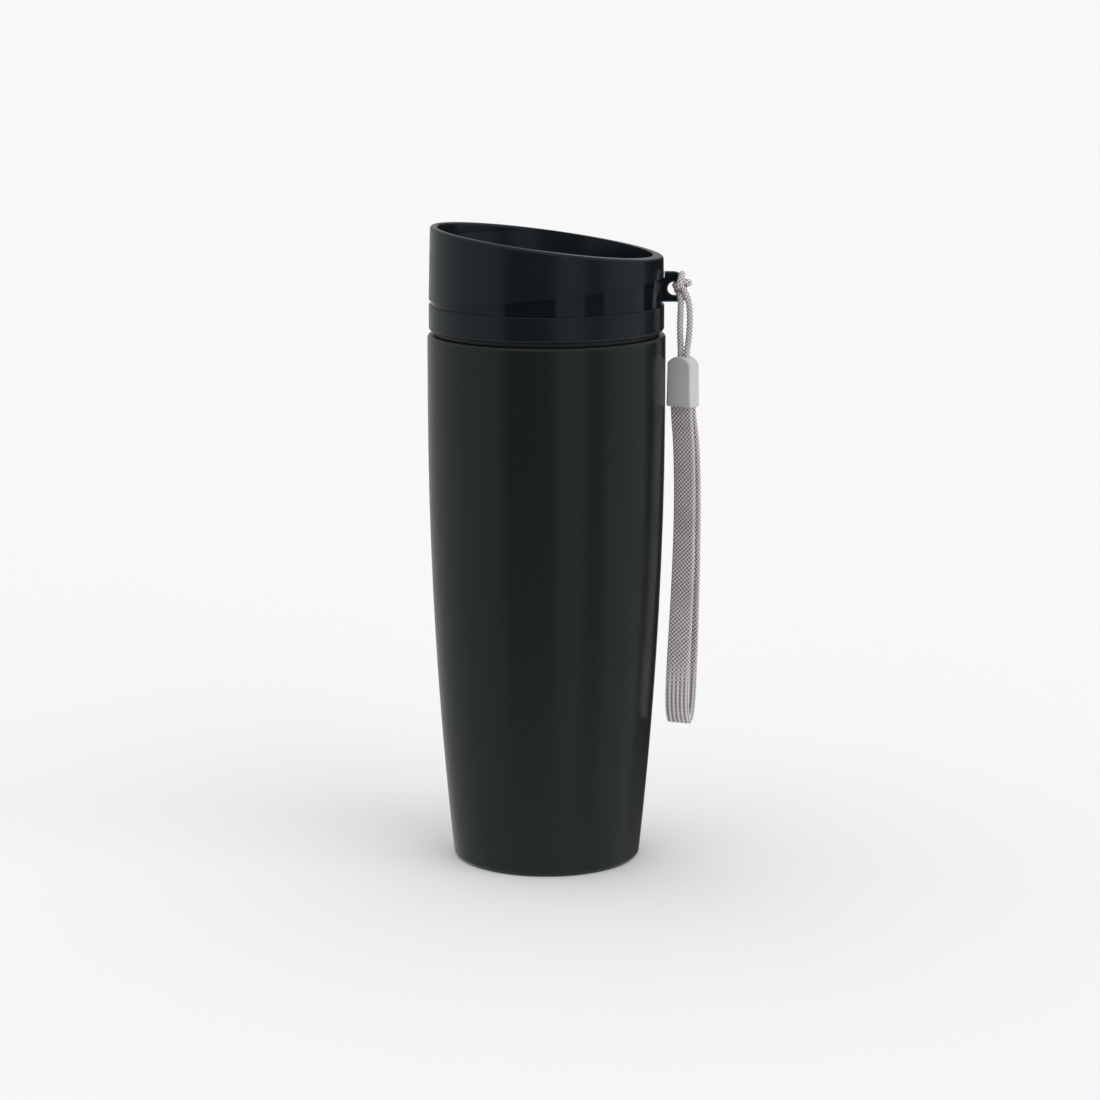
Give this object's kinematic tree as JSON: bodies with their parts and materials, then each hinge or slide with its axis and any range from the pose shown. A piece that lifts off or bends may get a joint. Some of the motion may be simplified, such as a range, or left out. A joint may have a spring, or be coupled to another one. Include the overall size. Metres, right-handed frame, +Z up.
{
  "type": "insulated travel mug",
  "caption": "Tapered double-wall steel travel mug with a screw-in lid, a slanted drinking collar, a press-to-open valve and a braided wrist lanyard on a side tab.",
  "frame": {"origin": "centre of the foot, on the surface the mug stands on", "axes": "+Z up along the mug's axis; +X towards the lanyard tab, which is the low side of the slanted drinking rim"},
  "size_m": [0.0865, 0.075, 0.2029],
  "materials": {
    "painted_shell": "satin",
    "steel": "brushed",
    "bright_wire": "polished",
    "silicone": "matte",
    "silicone_clear": "translucent matte",
    "satin_black": "satin",
    "gloss_black": "gloss",
    "inner_plastic": "matte",
    "acetal": "satin",
    "cap_plastic": "satin",
    "cord_fabric": "braided",
    "getter_metal": "matte",
    "seal_glass": "gloss"
  },
  "bodies": {
    "mug_body": {"outer_shell": "painted_shell", "inner_liner": "steel", "base_plate": "steel", "base_pad": "silicone", "vacuum_seal": "seal_glass", "getter": "getter_metal"},
    "lid_carrier": {"lid_gasket": "silicone_clear"},
    "lid": {"lid_core": "inner_plastic", "lid_ring": "satin_black", "strap_ring": "gloss_black", "drinking_collar": "satin_black", "collar_seal": "silicone_clear", "cam_guide": "acetal", "stem_seal": "silicone_clear", "return_spring": "bright_wire"},
    "press_valve": {"button": "satin_black", "stem": "acetal", "valve_disc": "inner_plastic", "valve_gasket": "silicone_clear", "valve_screw": "bright_wire"},
    "click_cam": {"click_cam": "acetal"},
    "lanyard": {"cord_loop": "cord_fabric", "cord_cap": "cap_plastic", "strap": "cord_fabric"}
  },
  "joints": [
    {"name": "lid_rise", "type": "slide", "parent": "mug_body", "child": "lid_carrier", "axis": [0, 0, 1], "range_m": [0, 0.0161]},
    {"name": "lid_turn", "type": "hinge", "parent": "lid_carrier", "child": "lid", "pos_m": [0, 0, 0.17], "axis": [0, 0, 1], "range_deg": [0, 720]},
    {"name": "button_press", "type": "slide", "parent": "lid", "child": "press_valve", "axis": [0, 0, -1], "range_m": [0, 0.004], "stiffness_N_per_m": 1500, "springref_m": -0.002, "deforming": ["return_spring"]},
    {"name": "cam_turn", "type": "hinge", "parent": "press_valve", "child": "click_cam", "pos_m": [0, 0, 0.168], "axis": [0, 0, 1], "range_deg": [0, 45.1]},
    {"name": "lanyard_swing", "type": "hinge", "parent": "lid", "child": "lanyard", "pos_m": [0.0401, 0, 0.18315], "axis": [0, -1, 0], "range_deg": [0, 26]}
  ],
  "couplings": [
    {"joint": "lid_rise", "follows": "lid_turn", "m_per_rad": 0.0012732},
    {"joint": "cam_turn", "follows": "button_press", "rad_per_m": 196.35}
  ]
}
